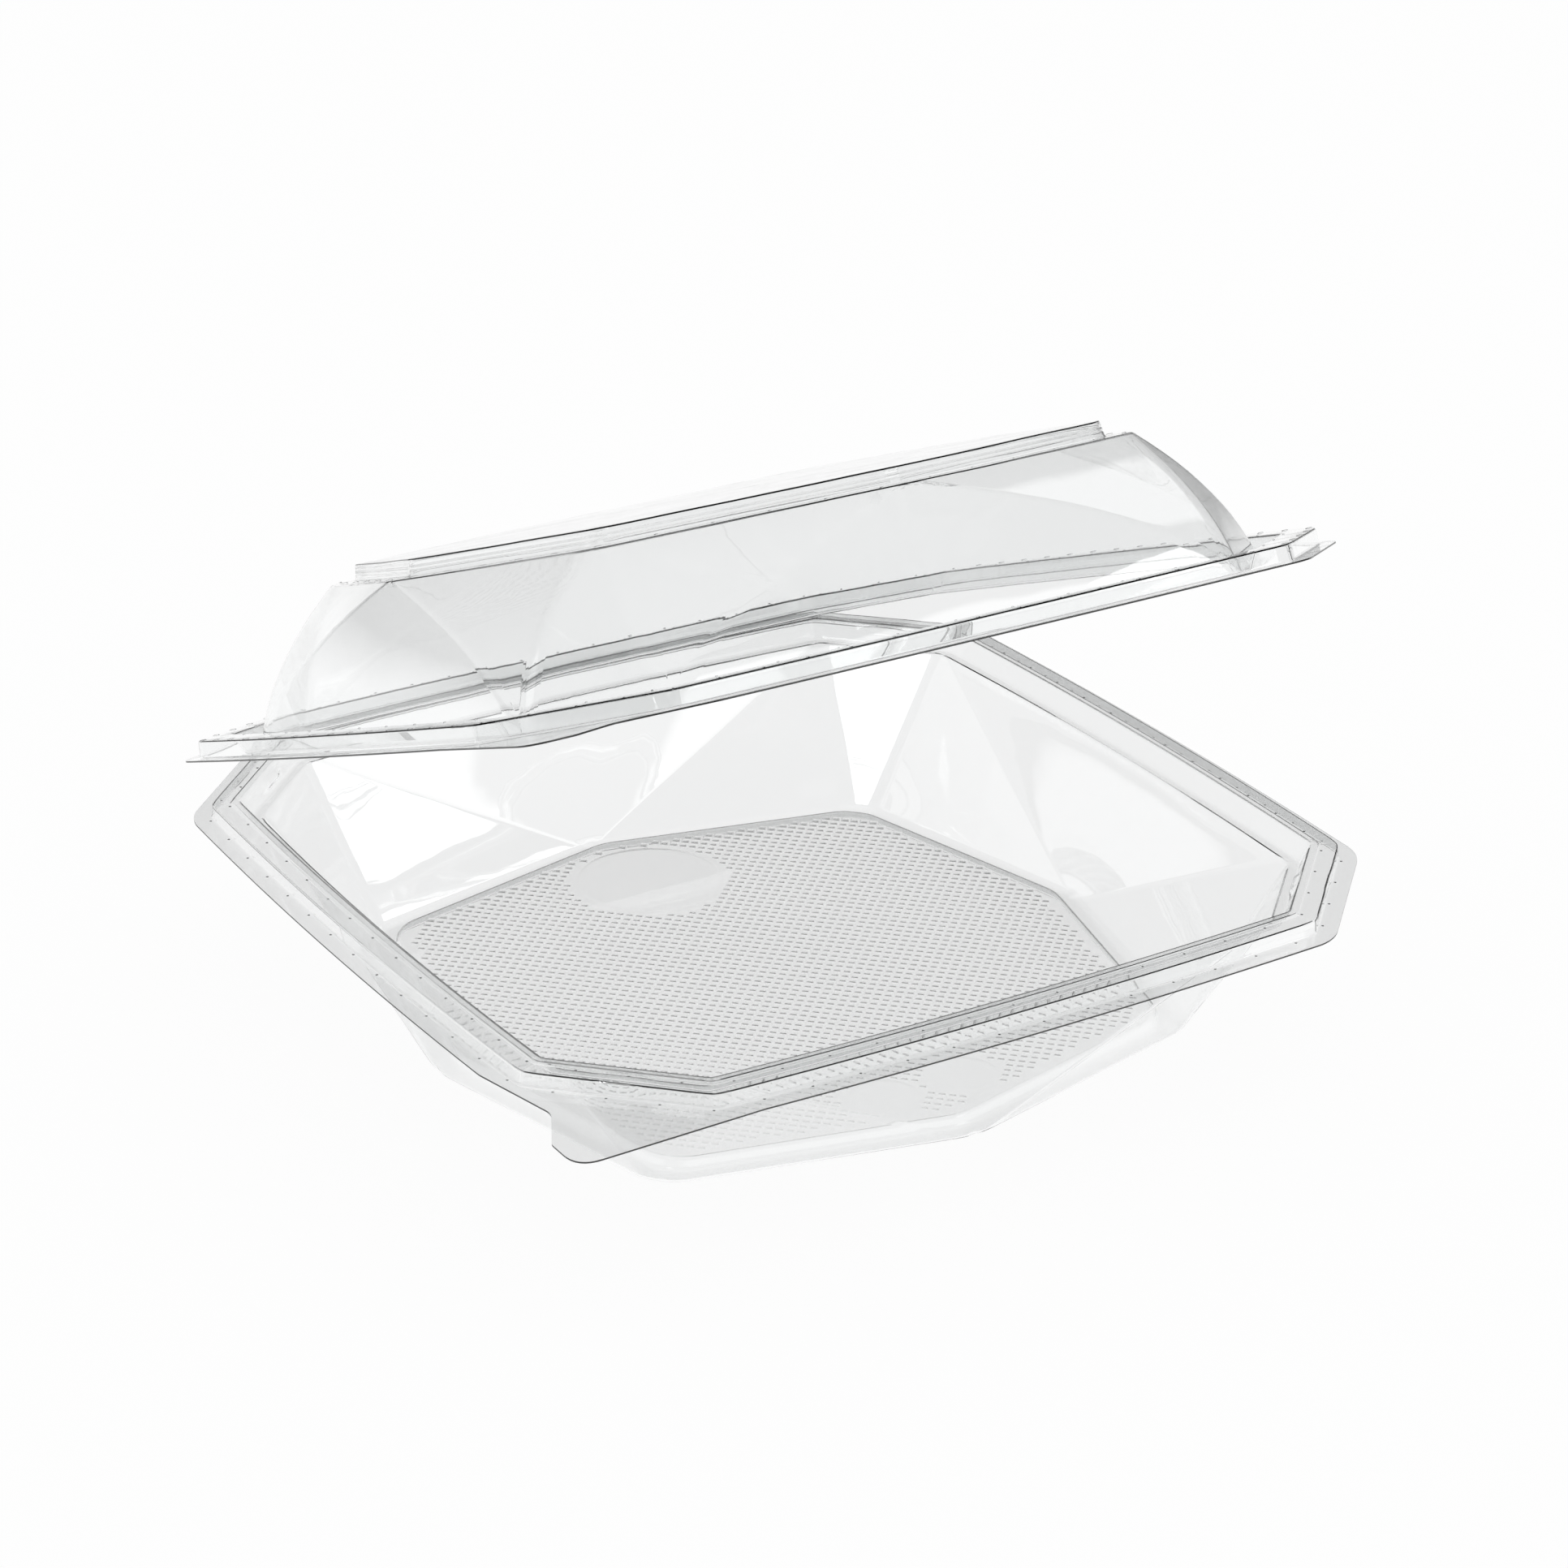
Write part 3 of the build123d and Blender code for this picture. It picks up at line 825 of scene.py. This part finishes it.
class BuildTray(bpy.types.Operator):
    """Builds the tray: flange, stepped rim, faceted wall, gutter and textured floor."""

    bl_idname = "food_pack.tray"
    bl_label = "Build tray"

    def execute(self, context):
        rim, tray = context.scene.pack_rim, context.scene.pack_tray
        foot = (tray.foot_mid, tray.foot_diagonal)
        outer, inner = rim.outer_round, rim.inner_round
        land_z = tray.flange_z + tray.riser_height
        bead_z = land_z + tray.bead_height
        ledge_z = bead_z - tray.snap_drop
        bead = tray.land_width + tray.bead_lean
        snap = bead + tray.bead_top
        snap_foot = snap + tray.snap_lean
        wall = snap_foot + tray.ledge_width
        low_z = rim.sheet
        floor_z = low_z + tray.floor_rise
        crease, fine = rim.crease, rim.crease / 2
        keys = [
            Key(rim_ring(rim, tray.flange_z, -rim.riser_lean - 2 * crease, outer)),
            Key(rim_ring(rim, tray.flange_z, -rim.riser_lean, outer), crease),
            Key(rim_ring(rim, land_z, 0, outer), crease),
            Key(rim_ring(rim, land_z, tray.land_width, inner), fine, 2),
            Key(rim_ring(rim, bead_z, bead, inner), fine, 2),
            Key(rim_ring(rim, bead_z, snap, inner), crease, 3, SNAP_GAP),
            Key(rim_ring(rim, ledge_z, snap_foot, inner), crease),
            Key(wall_ring(rim, ledge_z, 0, wall, *foot), tray.ledge_round),
            Key(wall_ring(rim, low_z, 1 - low_z / ledge_z, wall, *foot), tray.foot_round, 6),
            Key(base_ring(rim, low_z, tray.gutter_width - tray.gutter_draft, *foot), tray.step_round),
            Key(base_ring(rim, floor_z, tray.gutter_width, *foot), tray.step_round, 4),
            Key(base_ring(rim, floor_z, tray.gutter_width + 2 * tray.step_round, *foot)),
        ]
        rings = waved(rounded_profile(keys), rim.wave, low_z + WAVE_START, ledge_z, 1)
        lug_z = bead_z - tray.lug_place
        for points in rings:
            x, y, z = points.T
            off = np.abs(np.abs(x) - np.abs(y)) / math.sqrt(2)
            across = 1 - smooth_step(*LUG_ACROSS, off / (tray.lug_width / 2))
            down = 1 - smooth_step(*LUG_DOWN, np.abs(z - lug_z) / (tray.lug_depth / 2))
            push = tray.lug_height * across * down * (z > ledge_z + crease) / math.sqrt(2)
            points[:, 0] -= np.sign(x) * push
            points[:, 1] -= np.sign(y) * push
        shell = formed_shell("tray_shell", rings, flange_outline(rim, True), rim.sheet)
        dimpled_floor(shell, tray, floor_z)
        shade(shell)
        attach(shell, "tray")
        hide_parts("tray")
        return {"FINISHED"}


class BuildMarks(bpy.types.Operator):
    """Builds the small marks that the mould's air holes leave along the creases."""

    bl_idname = "food_pack.marks"
    bl_label = "Build mould marks"

    def execute(self, context):
        scene = context.scene
        rim, tray, lid, marks = scene.pack_rim, scene.pack_tray, scene.pack_lid, scene.pack_marks
        crease, outer, inner = rim.crease, rim.outer_round, rim.inner_round
        dot = (marks.dot / 2, marks.dot / 2)
        tick = (marks.tick / 2, marks.dot / 3)
        top = (lid.shoulder_mid, lid.shoulder_diagonal)
        land_z = tray.flange_z + tray.riser_height
        # Each line of marks: its points, its share of the spacing, the marks' size and their turn.
        on_tray = [
            (rim_ring(rim, tray.flange_z, -rim.riser_lean - 1.5 * crease, outer), 1.0, dot, 0.0),
            (rim_ring(rim, land_z, tray.land_width - crease, inner), 1.0, dot, 0.0),
        ]
        on_lid = [
            (rim_ring(rim, lid.land_z, lid.land_inset + 2 * crease, outer), 0.9, tick, math.pi / 2),
            (rim_ring(rim, lid.land_z, lid.plug_inset - 1.5 * crease, inner), 1.25, dot, 0.0),
            (base_ring(rim, lid.shoulder_z, 3 * crease, *top), 1.1, tick, math.pi / 4),
        ]
        for body, lines, lift in (("tray", on_tray, Matrix()), ("lid", on_lid, raised_lid())):
            bm = bmesh.new()
            for points, apart, size, turn in lines:
                studs(bm, points, apart * marks.spacing, size, marks.height, turn)
            finish_piece(bm, body + "_marks", body, lift)
        return {"FINISHED"}


class BuildFold(bpy.types.Operator):
    """Builds the thin film that bends between the tray's back edge and the lid's."""

    bl_idname = "food_pack.fold"
    bl_label = "Build fold"

    def execute(self, context):
        scene = context.scene
        rim, tray, lid = scene.pack_rim, scene.pack_tray, scene.pack_lid
        fold_y = rim.land_half + rim.riser_lean + rim.flange_width + rim.side_bow + rim.fold_margin
        half_sheet = rim.sheet / 2
        start = np.array([fold_y, tray.flange_z - half_sheet])
        end = np.array((raised_lid() @ Vector((0, fold_y, lid.flange_z - half_sheet))).yz)
        middle = np.array([hinge["pos_m"][1], (start[1] + end[1]) / 2 - rim.sheet / 4])
        curve = bezier(start, middle, end, np.linspace(0, 1, BEND_STEPS + 1))
        half_length = rim.land_half - rim.corner_cut - 2 * rim.nick
        thin = rim.sheet / 8
        bm = bmesh.new()
        rows = []
        for x in np.linspace(-half_length, half_length, FOLD_STEPS + 1):
            near = [bm.verts.new((x, y - thin, z)) for y, z in curve]
            away = [bm.verts.new((x, y + thin, z)) for y, z in curve[::-1]]
            rows.append(near + away)
        bands(bm, rows[::-1])
        bm.faces.new(rows[0])
        bm.faces.new(rows[-1][::-1])
        bmesh.ops.recalc_face_normals(bm, faces=bm.faces)
        film = finish_piece(bm, "fold_film", None)
        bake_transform(film)
        return {"FINISHED"}


class BuildLid(bpy.types.Operator):
    """Builds the lid: flange, channel, valley, domed facets and platform, raised as at rest."""

    bl_idname = "food_pack.lid"
    bl_label = "Build lid"

    def execute(self, context):
        rim, lid = context.scene.pack_rim, context.scene.pack_lid
        top = (lid.shoulder_mid, lid.shoulder_diagonal)
        outer, inner, crease, cut = rim.outer_round, rim.inner_round, rim.crease, lid.plug_cut
        keys = [
            Key(rim_ring(rim, lid.flange_z, lid.riser_inset - 2 * crease, outer)),
            Key(rim_ring(rim, lid.flange_z, lid.riser_inset, outer), crease),
            Key(rim_ring(rim, lid.land_z, lid.land_inset, outer), crease),
            Key(rim_ring(rim, lid.land_z, lid.plug_inset, inner, cut), crease),
            Key(rim_ring(rim, lid.valley_z, lid.plug_foot_inset, inner, cut), crease),
            Key(wall_ring(rim, lid.valley_z, 0, lid.dome_inset, *top), lid.valley_round),
        ]
        rise = lid.shoulder_z - lid.valley_z
        for step in np.linspace(0, 1, DOME_STEPS + 1)[1:]:
            part = step - 4 * lid.dome_fullness * step * (1 - step)
            points = wall_ring(rim, lid.valley_z + rise * step, part, lid.dome_inset, *top)
            keys.append(Key(points, lid.shoulder_round if step == 1 else 0))
        keys.append(Key(base_ring(rim, lid.shoulder_z, lid.platform_step, *top), crease, 2))
        height = lid.platform_z - lid.shoulder_z
        for level in GROOVE_LEVELS:
            for offset, depth in ((-GROOVE_HALF, 0), (0, lid.groove), (GROOVE_HALF, 0)):
                z = lid.shoulder_z + height * (level + offset)
                inset = lid.platform_step + lid.platform_draft * (level + offset) + depth
                keys.append(Key(base_ring(rim, z, inset, *top)))
        inset = lid.platform_step + lid.platform_draft
        platform = base_ring(rim, lid.platform_z, inset, *top)
        keys.append(Key(platform, crease))
        middle = np.array([0, 0, lid.platform_z])
        for size in PLATFORM_RINGS:
            keys.append(Key(middle + (platform - middle) * size, gap=PLATFORM_GAP))
        wave_top = lid.platform_z + WAVE_END
        rings = waved(rounded_profile(keys), rim.wave, lid.valley_z + WAVE_START, wave_top, -1)
        shell = formed_shell("lid_shell", rings, flange_outline(rim, False), rim.sheet)
        shade(shell)
        shell.data.transform(raised_lid())
        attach(shell, "lid")
        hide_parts("lid")
        return {"FINISHED"}


def box_axes(bearing, height):
    """Directions towards a soft box, across it and up it, from its place in degrees."""
    bearing, height = math.radians(bearing), math.radians(height)
    across = Vector((-math.sin(bearing), math.cos(bearing), 0))
    way = Vector((math.cos(bearing), math.sin(bearing), 0)) * math.cos(height)
    way.z = math.sin(height)
    return way, across, way.cross(across)


def box_group():
    """Node group of one soft box, as bright as its strength inside its edges."""
    directions, sizes = ("Way", "Forward", "Across", "Up"), ("Width", "Height", "Edge", "Strength")
    group, nodes = node_group("soft_box", directions, sizes, "Light")
    entry = nodes.add("NodeGroupInput").outputs

    def along(axis):
        both = {0: entry["Way"], 1: entry[axis]}
        return nodes.add("ShaderNodeVectorMath", both, operation="DOT_PRODUCT").outputs["Value"]

    def off_middle(axis, size):
        slope = nodes.math("DIVIDE", nodes.math("DIVIDE", along(axis), ahead), entry[size])
        return nodes.math("POWER", nodes.math("ABSOLUTE", slope), BOX_SQUARENESS)

    ahead = nodes.math("MAXIMUM", along("Forward"), 0.001)
    spread = nodes.math("ADD", off_middle("Across", "Width"), off_middle("Up", "Height"))
    low = nodes.math("SUBTRACT", 1.0, entry["Edge"])
    high = nodes.math("ADD", 1.0, entry["Edge"])
    shape = nodes.mapped(spread, low, high, 1.0, 0.0, interpolation_type="SMOOTHSTEP")
    nodes.add("NodeGroupOutput", {"Light": nodes.math("MULTIPLY", shape, entry["Strength"])})
    return group


def studio_world(studio):
    """White behind the pack, and a greyer studio in what the pack mirrors or bends aside."""
    world = bpy.data.worlds.new("studio")
    bpy.context.scene.world = world
    world.use_nodes = True
    world.cycles.sampling_method = "NONE"
    nodes = NodeMaker(world.node_tree)
    way = nodes.add("ShaderNodeTexCoord").outputs["Generated"]
    up = nodes.add("ShaderNodeSeparateXYZ", {0: way}).outputs["Z"]
    ramp = nodes.add("ShaderNodeValToRGB", {"Fac": nodes.mapped(up, -1.0, 1.0, 0.0, 1.0)})
    stops = ramp.color_ramp.elements
    for level, _name in GREYS[len(stops):]:
        stops.new(level)
    for stop, (level, name) in zip(stops, GREYS):
        stop.position = level
        stop.color = (*[getattr(studio, name)] * 3, 1)
    light = ramp.outputs["Color"]
    group = box_group()
    for bearing, height, width, tall, edge, strength in SOFT_BOXES:
        forward, across, upward = box_axes(bearing, height)
        values = {
            "Way": way, "Forward": forward, "Across": across, "Up": upward,
            "Width": math.tan(math.radians(width)), "Height": math.tan(math.radians(tall)),
            "Edge": edge, "Strength": strength,
        }
        box = nodes.add("ShaderNodeGroup", values, node_tree=group)
        light = nodes.math("ADD", light, box.outputs["Light"])
    bent = nodes.mapped(up, *WORLD_BENT, 1.0, studio.bent)
    path = nodes.add("ShaderNodeLightPath").outputs
    mirrored = nodes.math("GREATER_THAN", path["Glossy Depth"], 0.5)
    plain = nodes.math("MAXIMUM", path["Is Camera Ray"], path["Is Diffuse Ray"])
    shown = nodes.mixed(plain, nodes.mixed(mirrored, bent, light), 1.0)
    back = nodes.add("ShaderNodeBackground", {"Strength": shown})
    nodes.add("ShaderNodeOutputWorld", {"Surface": back.outputs[0]})


def top_box():
    """Soft box above the pack, which lights only what is matt."""
    bearing, height, distance, size, strength = LAMP
    way, _across, _up = box_axes(bearing, height)
    data = bpy.data.lights.new("top_box", "AREA")
    data.size = size
    data.energy = strength * math.pi * size**2
    lamp = placed("top_box", data)
    lamp.location = way * distance + LAMP_AIM
    lamp.rotation_euler = (-way).to_track_quat("-Z", "Y").to_euler()
    for ray in ("camera", "transmission", "glossy"):
        setattr(lamp, "visible_" + ray, False)


class BuildStudio(bpy.types.Operator):
    """Builds the stage: white table, soft boxes, world and camera."""

    bl_idname = "food_pack.studio"
    bl_label = "Build studio"

    def execute(self, context):
        scene = context.scene
        studio = scene.pack_studio
        bm = bmesh.new()
        corners = (np.array(SQUARE) * 2 - 1) * studio.table_half
        bm.faces.new([bm.verts.new((*corner, 0)) for corner in corners])
        table = placed("table", made_mesh(bm, "table", "white_table"))
        top_box()
        studio_world(studio)
        data = bpy.data.cameras.new("camera")
        data.lens = studio.lens
        camera = placed("camera", data)
        camera.location = studio.camera_place
        camera.rotation_euler = (math.pi / 2 - studio.camera_dip, 0, studio.camera_turn)
        scene.camera = camera
        scene.view_settings.view_transform = "Standard"
        for kind, count in BOUNCES.items():
            setattr(scene.cycles, kind + "_bounces", count)
        return {"FINISHED"}


class FoodPackPanel(bpy.types.Panel):
    """Sidebar panel with the pack's sizes and its build steps."""

    bl_idname = "VIEW3D_PT_food_pack"
    bl_label = "Food pack"
    bl_space_type = "VIEW_3D"
    bl_region_type = "UI"
    bl_category = "Food pack"

    def draw(self, context):
        for group in GROUPS:
            values = getattr(context.scene, group)
            box = self.layout.box()
            for name in values.__annotations__:
                box.prop(values, name)
        for step in STEPS:
            self.layout.operator(step.bl_idname)


GROUPS = {
    "pack_rim": RimSizes,
    "pack_tray": TraySizes,
    "pack_lid": LidSizes,
    "pack_marks": MarkSizes,
    "pack_finish": SheetFinishAndEdgeShade,
    "pack_studio": Studio,
}
STEPS = (BuildTray, BuildLid, BuildMarks, BuildFold, BuildStudio)
CLASSES = (*GROUPS.values(), *STEPS, FoodPackPanel)


def register():
    """Registers the classes and puts their sizes on the scene."""
    for item in CLASSES:
        bpy.utils.register_class(item)
    for name, group in GROUPS.items():
        setattr(bpy.types.Scene, name, PointerProperty(type=group))


def unregister():
    """Takes the sizes and the classes away again."""
    for name in GROUPS:
        delattr(bpy.types.Scene, name)
    for item in reversed(CLASSES):
        bpy.utils.unregister_class(item)


def main():
    """Builds the pack and its studio."""
    register()
    bpy.ops.food_pack.tray()
    bpy.ops.food_pack.lid()
    bpy.ops.food_pack.marks()
    bpy.ops.food_pack.fold()
    bpy.ops.food_pack.studio()


if __name__ == "__main__":
    main()
